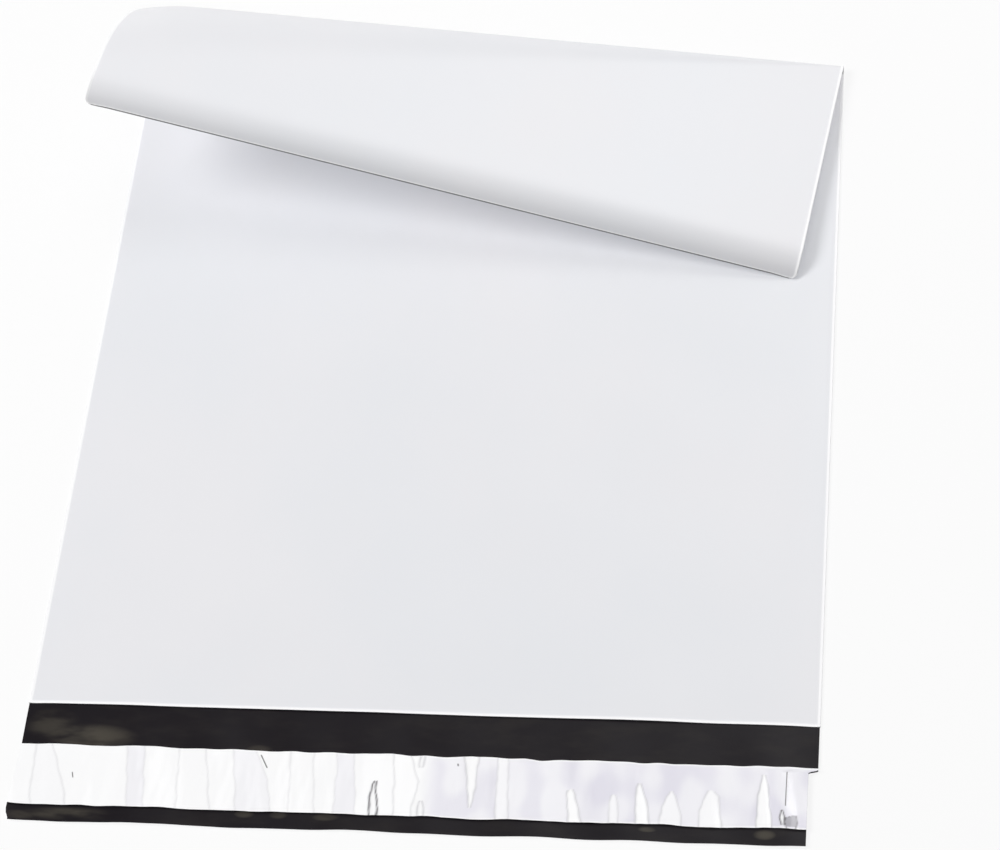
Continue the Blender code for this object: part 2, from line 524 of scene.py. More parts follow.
class Finish:
    """A material whose nodes are added one by one."""

    def __init__(self, name):
        self.material = bpy.data.materials.new(name)
        self.material.use_nodes = True
        self.tree = self.material.node_tree
        self.tree.nodes.clear()

    def node(self, kind, settings=None, sockets=None, output=0):
        """Adds a node. Settings are set first, then each socket gets its value or its wire."""
        made = self.tree.nodes.new(kind)
        for key, value in (settings or {}).items():
            setattr(made, key, value)
        for key, value in (sockets or {}).items():
            if isinstance(value, Wire):
                self.tree.links.new(value.socket, made.inputs[key])
            else:
                made.inputs[key].default_value = value
        return Wire(self, made.outputs[output])

    def maths(self, operation, *values):
        return self.node("ShaderNodeMath", {"operation": operation}, dict(enumerate(values)))

    def blend(self, share, first, second):
        """A colour between two others."""
        colours = [value if isinstance(value, Wire) else (*value, 1.0) for value in (first, second)]
        sockets = {0: share, 6: colours[0], 7: colours[1]}
        return self.node("ShaderNodeMix", {"data_type": "RGBA"}, sockets, output=2)

    def step(self, value, low, high):
        """0 below low and 1 above high, smooth between."""
        settings = {"interpolation_type": "SMOOTHSTEP"}
        return self.node("ShaderNodeMapRange", settings, {"Value": value, 1: low, 2: high})

    def flat(self, across=1.0, along=1.0, shift=0.0):
        """Places on the flat film in metres, stretched for a texture."""
        flat = self.node("ShaderNodeUVMap", {"uv_map": "flat_film"})
        sockets = {"Vector": flat, "Location": (shift, shift, shift), "Scale": (across, along, 1.0)}
        return self.node("ShaderNodeMapping", None, sockets)

    def places(self):
        """The place across and the place along the flat film, as two numbers."""
        flat = self.flat()
        return [self.node("ShaderNodeSeparateXYZ", None, {"Vector": flat}, output=axis) for axis in "XY"]

    def noise(self, vector, detail=2.0, rough=0.5):
        sockets = {"Vector": vector, "Scale": 1.0, "Detail": detail, "Roughness": rough}
        return self.node("ShaderNodeTexNoise", None, sockets)

    def field(self, name):
        """A number stored on the mesh's points."""
        return self.node("ShaderNodeAttribute", {"attribute_name": name}, output="Fac")

    def bump(self, height, distance, strength, under=None):
        sockets = {"Height": height, "Distance": distance, "Strength": strength}
        if under:
            sockets["Normal"] = under
        return self.node("ShaderNodeBump", None, sockets)

    def surface(self, **sockets):
        """The surface shader. Each keyword is a socket's name with underscores."""
        named = {key.replace("_", " "): value for key, value in sockets.items()}
        return self.close(self.node("ShaderNodeBsdfPrincipled", None, named))

    def close(self, shader):
        """Joins the last shader to the material's output."""
        output = self.tree.nodes.new("ShaderNodeOutputMaterial")
        self.tree.links.new(shader.socket, output.inputs["Surface"])
        return self.material


print("finishes are ready to write")

# %% [markdown]
# ## White film
# The outside is satin polyethylene: nearly white, faintly cool, with a soft broad gloss. Two things
# keep it from looking like paper. The gloss drifts over tens of millimetres, and blown film has very
# fine lines along the way it was drawn. Along the welds, the mouth and the closed end the colour is
# lifted towards white, a painted highlight. In the fold at the closed end a dark grey line stands for
# the shadow under the roll's free edge: it is painted shadow.

# %% White finish
WHITE_COOL = (0.775, 0.785, 0.815)
WHITE_WARM = (0.800, 0.798, 0.822)
RIM_HIGHLIGHT = (0.97, 0.97, 0.98)
FOLD_SHADOW_GREY = (0.05, 0.05, 0.055)
FOLD_SHADOW_SHARE = 0.85


def white_film():
    finish = Finish("white_film")
    drift = finish.noise(finish.flat(9, 7), detail=3)
    draw_lines = finish.noise(finish.flat(900, 14), detail=2)
    pebble = finish.noise(finish.flat(1500, 1500), detail=2)
    base = finish.blend(finish.step(drift, 0.3, 0.7), WHITE_COOL, WHITE_WARM)
    # Painted highlight: the colour along the rims is lifted towards white.
    edged = finish.blend(finish.field("rim"), base, RIM_HIGHLIGHT)
    # Painted shadow: a dark grey line in the fold at the closed end.
    colour = finish.blend(finish.field("fold") * FOLD_SHADOW_SHARE, edged, FOLD_SHADOW_GREY)
    under = finish.bump(draw_lines, 0.00003, 0.35)
    normal = finish.bump(pebble, 0.00002, 0.25, under)
    roughness = 0.36 + 0.10 * drift + 0.05 * draw_lines
    return finish.surface(Base_Color=colour, Roughness=roughness, IOR=1.51, Normal=normal)


# %% [markdown]
# ## Black film
# The inside layer is black, and its gloss is sharper than the outside's but weaker. Soft pale marks
# of painted sheen lie on it. They are a few soft ovals broken up by a noise, because marks from a noise
# alone would lie evenly over the whole flap.

# %% Black finish
BLACK = (0.0080, 0.0060, 0.0085)
BLACK_SHEEN = (0.062, 0.055, 0.044)
BLACK_GLOSS = 0.14

# Each spot of painted sheen is (x, y, reach across, reach along, strength), the places in millimetres on
# the flat film.
SHEEN_SPOTS = (
    (-127.0, -14.5, 22.0, 7.0, 1.0),
    (-142.0, -9.0, 12.0, 8.0, 0.6),
    (-60.0, -17.5, 6.0, 2.5, 0.5),
    (-128.0, -48.5, 22.0, 3.2, 0.9),
    (-148.0, -49.5, 8.0, 2.5, 0.6),
    (-62.0, -46.0, 4.5, 2.0, 0.7),
    (-49.0, -46.0, 4.0, 2.0, 0.7),
    (-31.0, -46.5, 6.0, 2.0, 0.6),
    (90.0, -47.0, 4.0, 1.5, 0.8),
    (135.0, -47.5, 6.0, 2.5, 1.0),
)


def sheen_spot_mask(finish, x, y, spot):
    """1 in the middle of a soft oval and 0 outside it."""
    middle_x, middle_y, across, along, strength = spot
    off_x = (x - middle_x * MM) / (across * MM)
    off_y = (y - middle_y * MM) / (along * MM)
    return strength * (1.0 - finish.step(off_x * off_x + off_y * off_y, 0.0, 1.0))


def black_film():
    finish = Finish("black_film")
    cloud = finish.noise(finish.flat(40, 110), detail=3, rough=0.55)
    x, y = finish.places()
    # Painted sheen: paler patches from a noise and from the listed spots.
    sheen = 0.12 * finish.step(cloud, 0.42, 0.75)
    broken = finish.step(cloud, 0.30, 0.62)
    for spot in SHEEN_SPOTS:
        sheen = finish.maths("MAXIMUM", sheen, sheen_spot_mask(finish, x, y, spot) * broken)
    crinkle = finish.noise(finish.flat(150, 90, 3.0), detail=3)
    normal = finish.bump(crinkle, 0.00020, 0.25)
    colour = finish.blend(sheen, BLACK, BLACK_SHEEN)
    roughness = 0.30 + 0.16 * cloud
    return finish.surface(
        Base_Color=colour, Roughness=roughness, IOR=1.51, Specular_IOR_Level=BLACK_GLOSS, Normal=normal
    )


film_finishes = [white_film(), black_film()]
WHITE, DARK = 0, 1
print([finish.name for finish in film_finishes])

# %% [markdown]
# ## The film body
# The rows are close together where the film bends and near every edge, and wide apart where it is
# flat. The same holds for the stations across, which crowd into the welded sides.

# %% Rows and stations
EDGE_STEPS = np.array([0.0, 0.0002, 0.0004, 0.0007, 0.0011, 0.0017, SIDE_WELD])
STATIONS_BETWEEN = 88
FLAP_ROWS = 24
NEAR_MOUTH = 0.0015
STEP_ROWS = np.linspace(0.0189, 0.0211, 9)


def stations(half_width, steps, between):
    inner = half_width - steps[-1]
    middle = np.linspace(-inner, inner, between)[1:-1]
    return np.concatenate([-half_width + steps, middle, half_width - steps[::-1]])


flap_middle = np.linspace(FLAP_DEPTH - EDGE_STEPS[-1], NEAR_MOUTH, FLAP_ROWS)
flap_places = np.concatenate([FLAP_DEPTH - EDGE_STEPS[:-1], flap_middle, STEP_ROWS])
flap_places = -np.sort(flap_places)[::-1]
bag_rows = walk_the_film(FAN_TURN, flap_places, EDGE_STEPS[1:-1])
mouth_row = len(flap_places)
across = stations(HALF_WIDTH, EDGE_STEPS, STATIONS_BETWEEN)
weld_end = len(EDGE_STEPS) - 1
pocket_across = across[weld_end : len(across) - weld_end]
print(len(bag_rows.left), "rows,", len(across), "stations")


# %% [markdown]
# The flap's cut tip wanders by a few tenths of a millimetre, its right end steps in, and its left end
# flares a little. The closed end's two corners are rounded. One function moves the stations to those
# sides for the film, the glue and the liner alike, so no edge has to be cut afterwards.

# %% Cut edges that wander
RIGHT_STEP = 0.0036
LEFT_FLARE = 0.0012
TIP_TUCK = 0.0014
END_REACH = 0.03
CORNER_RADIUS = 0.0026
CORNER_REACH = 0.012
TIP_WANDER = 0.00032
TIP_SHARE = 0.8
STEP_FROM, STEP_TO = 0.0195, 0.0207
FLARE_FROM, FLARE_TO = 0.02, 0.048
TUCK_FROM = 0.0475
edge_waves = make_waves(8, 7, 0.018, 0.09, spread=1)


def tip_shift(x):
    return TIP_WANDER * swell(edge_waves, x, 0.0)


def narrowed(x, y):
    """Stations moved to the flap's cut sides: a step in at the right, and a slight flare at the left."""
    right = RIGHT_STEP * ease(-y, STEP_FROM, STEP_TO)
    left = LEFT_FLARE * ease(-y, FLARE_FROM, FLARE_TO) - TIP_TUCK * ease(-y, TUCK_FROM, FLAP_DEPTH)
    near_right = ease(x, HALF_WIDTH - END_REACH, HALF_WIDTH)
    near_left = ease(-x, HALF_WIDTH - END_REACH, HALF_WIDTH)
    return x - right * near_right - left * near_left - corner_inset(x, y)


def corner_inset(x, y):
    """How far the sides come in where the closed end's corners are rounded."""
    into_corner = np.clip(CORNER_RADIUS - (BAG_LENGTH - y), 0, CORNER_RADIUS)
    inset = CORNER_RADIUS - np.sqrt(CORNER_RADIUS ** 2 - into_corner ** 2)
    return np.sign(x) * inset * ease(np.abs(x), HALF_WIDTH - CORNER_REACH, HALF_WIDTH)


print("the tip shifts by", tip_shift(across).min(), "to", tip_shift(across).max())


# %% [markdown]
# Each surface of the film is one grid, laid from the same rows and stations. Two marks go with the
# points: rim, the painted highlight along the side welds, the mouth and the closed end, and fold, the
# painted shadow line in the crease there. A mask in the shader would need all these edges described again.

# %% Film surfaces
END_ARC = np.linspace(0, math.pi, 9)
PULL_REACH = 0.004
FOLD_SHADOW_WIDTH = 0.0002
RIM_FROM, RIM_TO = 0.0006, 0.0012
MOUTH_RIM_FROM, MOUTH_RIM_TO = 0.0008, 0.0015
ON_PANELS = -1e-6


def rim_of(x, y):
    """Where the highlight is painted: 1 along the side welds, the mouth and the closed end, 0 elsewhere
    and on the flap.
    """
    side = 1 - ease(HALF_WIDTH - np.abs(x), RIM_FROM, RIM_TO)
    mouth = 1 - ease(np.abs(y), MOUTH_RIM_FROM, MOUTH_RIM_TO)
    end = 1 - ease(BAG_LENGTH - y, RIM_FROM, RIM_TO)
    return np.maximum(np.maximum(side, mouth), end) * (y > ON_PANELS)


class Film:
    """The bag's film, surface by surface."""

    def __init__(self):
        self.shell = Shell("rim", "fold")
        self.rows = bag_rows
        self.panel = bag_rows.part(slice(mouth_row, None))
        self.flap = bag_rows.part(slice(0, mouth_row + 1))
        self.end = bag_rows.part(slice(-1, None))

    def place(self, rows, x, height):
        """Points of one layer. The last rows draw in, so that the end fold's round has its room."""
        x = np.broadcast_to(x, (len(rows.left), np.shape(x)[-1]))
        y = rows.places(x)
        reach = self.end_pull(x, y) + tip_shift(x) * ease(-y, FLAP_DEPTH * TIP_SHARE, FLAP_DEPTH)
        moved = narrowed(x, y)
        return rows.points(moved, height(x, y), reach), np.stack([x, y], axis=-1), rim_of(x, y)

    def end_radius(self, x):
        y = np.full(np.shape(x), BAG_LENGTH)
        return (front_outside(x, y) - back_underside(x, y)) / 2

    def end_pull(self, x, y):
        """How far a point is drawn back from the closed end, growing evenly over PULL_REACH."""
        return -self.end_radius(x) * np.clip(1 - (BAG_LENGTH - y) / PULL_REACH, 0, 1)

    def layer(self, rows, x, height, slot):
        points, flats, rims = self.place(rows, x, height)
        # The last fraction of a millimetre before the closed end carries the painted shadow line.
        fold_shadow_mask = 1 - ease(BAG_LENGTH - flats[..., 1], FOLD_SHADOW_WIDTH, 2 * FOLD_SHADOW_WIDTH)
        self.shell.grid(points, flats, slot, rim=rims, fold=fold_shadow_mask)

    def strip(self, row, x, heights, slot):
        """A narrow face between layers along one row."""
        placed = [self.place(row, x, height) for height in heights]
        points, flats, rims = (np.concatenate(part) for part in zip(*placed))
        self.shell.grid(points, flats, slot, rim=rims)


film = Film()
film.layer(film.rows, across, back_underside, WHITE)
film.layer(film.flap, across, back_inside, DARK)
film.layer(film.panel, pocket_across, back_inside, DARK)
film.layer(film.panel, pocket_across, front_inside, DARK)
film.layer(film.panel, across, front_outside, WHITE)
film.strip(film.flap.part(slice(0, 1)), across, (back_underside, back_inside), DARK)
film.strip(film.panel.part(slice(0, 1)), across, (front_inside, front_outside), WHITE)
print(len(film.shell.faces), "faces in the broad surfaces")

# %% [markdown]
# The side welds are half rounds, and so is the fold at the closed end. At its two corners the round
# of the side turns into the round of the fold, which a grid of arcs covers.

# %% Round edges
CORNER_HEADINGS = (0, 30, 60, 90)


def side_round(rows, side, heading):
    """Arcs from the underside to the top of a side, bulging out across at 0 and along at 90 degrees."""
    x = np.full((len(rows.left), 1), side * HALF_WIDTH)
    y = rows.places(x)
    low, high = back_underside(x, y), front_outside(x, y)
    radius = (high - low) / 2
    shift = film.end_pull(x, y)
    moved = narrowed(x, y)
    out = side * radius * np.sin(END_ARC) * math.cos(heading)
    along = radius * np.sin(END_ARC) * math.sin(heading)
    points = []
    for step, angle in enumerate(END_ARC):
        height = low + radius * (1 - math.cos(angle))
        reach = shift + along[:, step : step + 1]
        points.append(rows.points(moved + out[:, step : step + 1], height, reach)[:, 0])
    points = np.stack(points, axis=1)
    if heading == 0:
        points[:, -1] = rows.points(moved, high, shift)[:, 0]
    flats = np.broadcast_to(np.stack([x, y], axis=-1), (*points.shape[:2], 2))
    return points, flats


def add_sides():
    for side in (-1, 1):
        points, flats = side_round(film.panel, side, 0)
        # The side rounds carry the painted highlight all over.
        film.shell.grid(points, flats, WHITE, rim=1.0)
        x = np.array([side * HALF_WIDTH])
        seam = [film.place(film.flap, x, height) for height in (back_underside, back_inside)]
        film.shell.grid(np.concatenate([seam[0][0], seam[1][0]], axis=1), seam[0][1], DARK)
        middle = film.place(film.panel.part(slice(0, 1)), x, back_inside)[0][0]
        film.shell.cap(np.concatenate([points[0], middle]), np.array([side * HALF_WIDTH, 0.0]), rim=1.0)
        arcs = [side_round(film.end, side, math.radians(angle))[0][0] for angle in CORNER_HEADINGS]
        film.shell.grid(np.stack(arcs), np.array([side * HALF_WIDTH, BAG_LENGTH]), WHITE, rim=1.0)


def end_round(x, low, high, slot):
    """The fold at the closed end, from one layer round to the other."""
    x = np.asarray(x)[None, :]
    y = np.full(x.shape, BAG_LENGTH)
    base, top = low(x, y), high(x, y)
    moved = narrowed(x, y)
    radius = (top - base) / 2
    lines = []
    for angle in END_ARC:
        reach = radius * math.sin(angle) - film.end_radius(x)
        lines.append(film.end.points(moved, base + radius * (1 - math.cos(angle)), reach)[0])
    lines[-1] = film.end.points(moved, top, -film.end_radius(x))[0]
    flats = np.broadcast_to(np.stack([x[0], y[0]], axis=-1), (len(lines), x.shape[1], 2))
    # The round carries the painted highlight and the painted shadow line.
    film.shell.grid(np.stack(lines), flats, slot, rim=1.0, fold=1.0)


add_sides()
end_round(across, back_underside, front_outside, WHITE)
end_round(pocket_across, back_inside, front_inside, DARK)
film_body = film.shell.make("film_body", film_finishes)
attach(film_body, "root")
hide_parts("mailer_film")

# %% [markdown]
# ## The peel-off liner
# The liner is a thin glossy plastic strip that lies on the adhesive. It is stiffer one way than the
# other, so it doesn't crumple: it lifts in narrow tents that start at an edge and close to a point,
# like flames. Each tent is a short list: where it starts, how wide, how far it runs, how high it
# stands and how much it leans. Sculpting them by hand would work too, but a list can be moved.

# %% Tents in the liner
LINER_GAUGE = 0.00005
LAYER_GAP = 0.0003
LINER_LOW, LINER_HIGH = liner_low.y, liner_high.y
LINER_DEPTH = LINER_HIGH - LINER_LOW

# Each tent is (station, width at its edge, run, height, lean), all in millimetres.
TENTS_FROM_TIP = (
    (-145.3, 9.0, 21.0, 0.30, 0.5),
    (-103.0, 4.0, 12.0, 0.22, -0.8),
    (-59.0, 9.0, 24.0, 0.30, -6.0),
    (-46.0, 3.5, 15.0, 0.22, -1.0),
    (-13.1, 3.0, 15.0, 0.50, -0.8),
    (4.7, 2.6, 6.0, 0.30, 0.0),
    (62.4, 5.2, 15.5, 0.50, -2.0),
    (77.0, 3.2, 13.5, 0.40, -0.6),
    (88.2, 5.0, 19.0, 0.45, -2.2),
    (98.5, 7.0, 16.0, 0.50, -0.2),
    (113.1, 7.8, 16.5, 0.55, -1.3),
    (134.4, 6.6, 24.0, 0.60, -1.3),
)
TENTS_FROM_MOUTH = (
    (-107.0, 6.0, 16.0, 0.25, 1.5),
    (-64.0, 8.0, 14.0, 0.25, 3.0),
    (-26.0, 6.5, 13.0, 0.25, 1.5),
    (-3.5, 6.5, 24.0, 0.35, 1.5),
    (22.0, 4.6, 20.0, 0.45, 1.0),
    (65.0, 8.0, 9.0, 0.25, 0.0),
    (83.5, 5.5, 10.0, 0.22, 0.0),
    (101.0, 6.0, 11.0, 0.25, 0.5),
    (119.0, 7.0, 10.0, 0.25, 0.0),
)
TENT_SHARE = 0.32
TENT_POINT = 1e-6
LINER_WAVE = 0.00016
LINER_RIPPLE = 0.00003
liner_waves = make_waves(31, 14, 0.009, 0.05, spread=24)
liner_ripples = make_waves(37, 10, 0.0035, 0.011, spread=40)


def tents(x, y, shapes, from_tip):
    """The liner's lift where it stands up in tents that close to a point."""
    run_so_far = (y - LINER_LOW) if from_tip else (LINER_HIGH - y)
    lift = np.zeros(np.broadcast(x, y).shape)
    for station, width, run, height, lean in shapes:
        share = np.clip(run_so_far / (run * MM), 0, 1)
        half = width * MM / 2 * (1 - share ** 2.5) ** 0.8 + TENT_POINT
        off = np.abs(x - (station + lean * share) * MM) / half
        ridge = np.clip(1 - off ** 2, 0, 1) ** 1.5
        lift = np.maximum(lift, TENT_SHARE * height * MM * (1 - share ** 2) * ridge)
    return lift


def liner_underside(x, y):
    waves = LINER_WAVE * (1 + swell(liner_waves, x, y))
    ripples = LINER_RIPPLE * (1 + swell(liner_ripples, x, y))
    lift = np.maximum(tents(x, y, TENTS_FROM_TIP, True), tents(x, y, TENTS_FROM_MOUTH, False))
    ground = back_inside(x, y) + glue_high.z - glue_low.z + 2 * LAYER_GAP
    return ground + np.maximum(waves, 0) + ripples + lift


print(len(TENTS_FROM_TIP) + len(TENTS_FROM_MOUTH), "tents")

# %% [markdown]
# The liner's two long edges were slit and wander a little. Its ends were cut with the flap, so
# they follow the flap's step and flare.

# %% Liner mesh
LINER_STEP = 0.0005
LOW_WANDER, HIGH_WANDER = 0.00025, 0.00030
liner_edge_waves = make_waves(41, 8, 0.012, 0.06, spread=1)
liner_other_waves = make_waves(43, 8, 0.012, 0.06, spread=1)


def liner_places():
    x = np.linspace(-HALF_WIDTH, HALF_WIDTH, int(BAG_WIDTH / LINER_STEP) + 1)[None, :]
    share = np.linspace(0, 1, int(LINER_DEPTH / LINER_STEP) + 1)[:, None]
    low = LINER_LOW + LOW_WANDER * swell(liner_edge_waves, x, 0.0)
    high = LINER_HIGH + HIGH_WANDER * swell(liner_other_waves, x, 0.0)
    y = low + (high - low) * share
    return np.broadcast_to(x, y.shape), y


def strip_shell(name, x, y, underside, thickness, finishes, **marks):
    """A thin closed strip over a grid of flat places."""
    shell = Shell(*marks)
    low = underside(x, y)
    sheets = [np.stack([narrowed(x, y), y, low + lift], axis=-1) for lift in (0.0, thickness)]
    flats = np.stack([x, y], axis=-1)
    for sheet in sheets:
        shell.grid(sheet, flats, **marks)
    for edge in (np.s_[0, :], np.s_[-1, :], np.s_[:, 0], np.s_[:, -1]):
        edge_marks = {mark: values[edge] for mark, values in marks.items()}
        shell.grid(np.stack([sheets[0][edge], sheets[1][edge]]), flats[edge], **edge_marks)
    return shell.make(name, finishes)


places = liner_places()
print("the liner's grid has", places[0].size, "points")

# %% [markdown]
# ## Where the liner touches the glue
# The strip is translucent white over pale glue. Where the two touch it looks white, and where
# air gets between them it looks lavender grey. A thin grey line of painted shade goes round each patch.
# A patch is a few rows down the strip, each with a left and a right side, so a flame or a column is easy
# to move.

# %% Patches in the liner
OUTLINE = 0.00040
PATCH_SOFTNESS = 0.0003
PATCH_WOBBLE = 0.00035
LAVENDER_FROM, LAVENDER_TO = 0.002, 0.012
CLOUD_FROM, CLOUD_TO = -0.5, 0.7
SLIT_WHITE = 0.0009
patch_waves = make_waves(53, 9, 0.004, 0.02)
cloud_waves = make_waves(57, 14, 0.010, 0.045)

# Each patch is (tone, outline, rows). Tone 0 is white, 1 is lavender and more is grey, and an outline
# over 1 has a dark core. A row is (y, left x, right x) in millimetres on the flat film.
PATCHES = (
    (0.06, 0.45, ((-47.0, -143.2, -130.0), (-34.3, -145.3, -134.0), (-18.0, -146.3, -140.5))),
    (0.42, 0.35, ((-47.0, -106.9, -100.8), (-18.0, -110.8, -104.0))),
    (0.0, 0.45, ((-47.0, -88.3, -75.3), (-18.0, -90.5, -80.2))),
    (0.26, 0.40, ((-47.0, -65.0, -52.0), (-31.3, -67.5, -54.8), (-18.0, -69.6, -61.0))),
    (0.0, 0.40, ((-47.0, -45.2, -35.3), (-18.0, -47.4, -38.7))),
    (0.32, 0.35, ((-47.0, -28.1, -19.7), (-18.0, -29.3, -22.9))),
    (0.0, 2.20, (
        (-46.5, -14.7, -11.5), (-38.0, -14.8, -12.2), (-32.5, -14.4, -12.9), (-30.4, -13.9, -13.3),
    )),
    (0.0, 0.60, ((-47.0, -5.5, 0.9), (-43.0, -5.7, 1.1), (-30.0, -6.6, 2.8), (-18.0, -7.9, -1.2))),
    (0.05, 0.95, ((-47.0, 3.7, 5.9), (-41.0, 3.5, 5.9), (-38.8, 4.0, 5.3), (-38.2, 4.4, 4.9))),
    (0.05, 0.80, ((-24.0, 2.8, 3.8), (-22.5, 2.3, 4.2), (-19.0, 2.6, 3.9))),
    (0.0, 0.80, ((-40.6, 22.6, 23.3), (-38.5, 22.2, 23.7), (-30.0, 21.3, 24.7), (-18.0, 19.4, 24.7))),
    (0.25, 0.55, ((-47.0, 32.9, 38.0), (-18.0, 32.0, 35.8))),
    (0.0, 0.90, ((-47.0, 60.8, 66.0), (-39.0, 59.6, 63.8), (-33.0, 59.4, 62.2), (-31.2, 59.8, 61.2))),
    (0.20, 0.55, ((-47.0, 75.3, 79.2), (-38.0, 75.2, 78.6), (-33.6, 75.6, 77.6), (-32.8, 76.1, 76.9))),
    (0.0, 0.90, ((-47.0, 85.7, 91.3), (-38.0, 85.2, 89.6), (-30.0, 85.2, 87.4), (-27.6, 85.7, 86.4))),
    (0.20, 0.65, ((-47.0, 94.0, 102.7), (-38.0, 94.9, 101.6), (-32.5, 96.9, 100.0), (-30.2, 98.0, 98.8))),
    (0.15, 0.70, (
        (-47.0, 108.8, 117.6), (-38.0, 109.2, 116.8), (-32.0, 110.6, 115.9), (-29.8, 111.6, 113.6),
    )),
    (0.0, 0.95, (
        (-47.0, 130.9, 138.4), (-38.0, 131.0, 137.2), (-28.0, 131.9, 135.6), (-22.4, 132.8, 134.0),
    )),
    (0.10, 2.00, ((-43.8, 142.4, 143.3), (-40.5, 141.5, 143.5), (-37.3, 141.9, 142.6))),
    (1.60, 1.60, (
        (-46.2, 144.8, 148.0), (-42.5, 143.6, 148.8), (-40.6, 144.0, 148.6), (-39.7, 146.6, 148.2),
    )),
)


def patch_marks(x, y):
    """How lavender each point of the liner is and how much of an outline, from 0 to 1."""
    clouds = 0.5 + 0.5 * ease(swell(cloud_waves, x, y), CLOUD_FROM, CLOUD_TO)
    lavender = ease(x, LAVENDER_FROM, LAVENDER_TO) * clouds
    outline = np.zeros(x.shape)
    for tone, strength, rows in PATCHES:
        row_y, row_left, row_right = np.array(rows).T * MM
        wobble = PATCH_WOBBLE * swell(patch_waves, x, y)
        left = np.interp(y, row_y, row_left) + wobble
        right = np.interp(y, row_y, row_right) + wobble
        within = (y > row_y[0]) & (y < row_y[-1])
        depth = np.minimum(x - left, right - x)
        inside = ease(depth, -PATCH_SOFTNESS, PATCH_SOFTNESS) * within
        lavender = lavender * (1 - inside) + tone * inside
        outline = np.maximum(outline, strength * np.exp(-(depth / OUTLINE) ** 2) * within)
    slit = np.minimum(y - y[:1], y[-1:] - y)
    lavender = lavender * ease(slit, 0.0, SLIT_WHITE)
    ink = np.clip(outline - 1, 0, 1) + np.clip(lavender - 1, 0, 1)
    marks = {"lavender": lavender, "outline": outline, "ink": ink}
    return {name: np.minimum(values, 1) for name, values in marks.items()}


print(len(PATCHES), "patches")

# %% [markdown]
# ## The liner's finish
# The colour reads the patches off the mesh. A slow noise in the shader breaks up the lavender, and a
# few dark hairlines are creases: each is a short line segment with a width.

# %% Liner finish
LINER_WHITE = (0.975, 0.975, 0.98)
LINER_LAVENDER = (0.745, 0.73, 0.81)
LINER_EDGE_SHADE = (0.46, 0.45, 0.48)
CREASE_GREY = (0.06, 0.055, 0.06)
OUTLINE_SHARE = 0.6

# Each crease is (x, y, x, y, width) in millimetres on the flat film.
CREASES = (
    (-58.9, -20.0, -55.4, -26.5, 0.45),
    (-130.4, -30.4, -129.6, -33.6, 0.40),
    (16.8, -21.1, 17.4, -23.3, 0.60),
    (143.8, -20.2, 143.7, -36.0, 0.45),
)


def line_mask(finish, x, y, line):
    """1 on a line segment and 0 away from it."""
    x0, y0, x1, y1, width = (value * MM for value in line)
    length = math.hypot(x1 - x0, y1 - y0)
    heading = ((x1 - x0) / length, (y1 - y0) / length)
    along = (x - x0) * heading[0] + (y - y0) * heading[1]
    off = abs((x - x0) * heading[1] - (y - y0) * heading[0])
    near = 1.0 - finish.step(off, 0.0, width)
    begun = finish.step(along, 0.0, 2 * width)
    ended = finish.step(along, length - 2 * width, length)
    return near * begun * (1.0 - ended)


def liner_film():
    finish = Finish("liner_film")
    x, y = finish.places()
    cloud = finish.noise(finish.flat(34, 16, 1.7), detail=3, rough=0.55)
    lavender = finish.field("lavender") * (0.75 + 0.25 * finish.step(cloud, 0.40, 0.60))
    colour = finish.blend(lavender, LINER_WHITE, LINER_LAVENDER)
    # Painted shade: a thin grey line round each patch.
    colour = finish.blend(finish.field("outline") * OUTLINE_SHARE, colour, LINER_EDGE_SHADE)
    crease = 0.0
    for line in CREASES:
        crease = crease + line_mask(finish, x, y, line)
    dark = finish.maths("MAXIMUM", finish.step(crease, 0.0, 1.0), finish.field("ink"))
    colour = finish.blend(dark * 0.9, colour, CREASE_GREY)
    wrinkle = finish.noise(finish.flat(260, 60, 4.0), detail=3)
    normal = finish.bump(wrinkle, 0.0002, 0.4)
    return finish.surface(Base_Color=colour, Roughness=0.14 + 0.08 * cloud, IOR=1.5, Normal=normal)


liner = strip_shell("liner", *places, liner_underside, LINER_GAUGE, [liner_film()], **patch_marks(*places))
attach(liner, "root")
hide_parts("release_liner")

# %% [markdown]
# ## The adhesive
# The strip of glue is narrower than the liner and hidden by it. It still gets its place and its own
# finish, because somebody may peel the liner off the finished model.

# %% Adhesive
GLUE_STEP = 0.0015
GLUE_COLOUR = (0.62, 0.60, 0.54)


def glue_film():
    finish = Finish("glue_film")
    mottle = finish.noise(finish.flat(300, 300), detail=2)
    normal = finish.bump(mottle, 0.00005, 0.5)
    roughness = 0.18 + 0.08 * mottle
    return finish.surface(Base_Color=(*GLUE_COLOUR, 1.0), Roughness=roughness, IOR=1.48, Normal=normal)


def glue_underside(x, y):
    return back_inside(x, y) + LAYER_GAP


def glue_places():
    ends = zip(glue_low.xy, glue_high.xy)
    return np.meshgrid(*(np.linspace(low, high, int((high - low) / GLUE_STEP) + 1) for low, high in ends))


glue = strip_shell("glue", *glue_places(), glue_underside, glue_high.z - glue_low.z, [glue_film()])
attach(glue, "root")
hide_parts("adhesive_strip")

# %% [markdown]
# ## Floor and backdrop
# A white bag on white paper is drawn by its shadows, so the floor has to be a real surface that
# catches them. The paper runs flat and then curves up into a low round wall, as a photographer's
# sweep does, so every camera angle ends on white. To the camera and in reflections its material is
# mixed most of the way to plain white. What it throws back onto the bag is only what matt paper does.

# %% Stage
FLOOR_DROP = 0.0004
SWEEP_PROFILE = ((0.0, 0.0), (6.0, 0.0), (7.2, 0.15), (7.8, 0.6), (8.0, 1.2), (8.0, 2.6))
SWEEP_SIDES = 64
PAPER = 0.86
PAPER_GLOW = 0.80


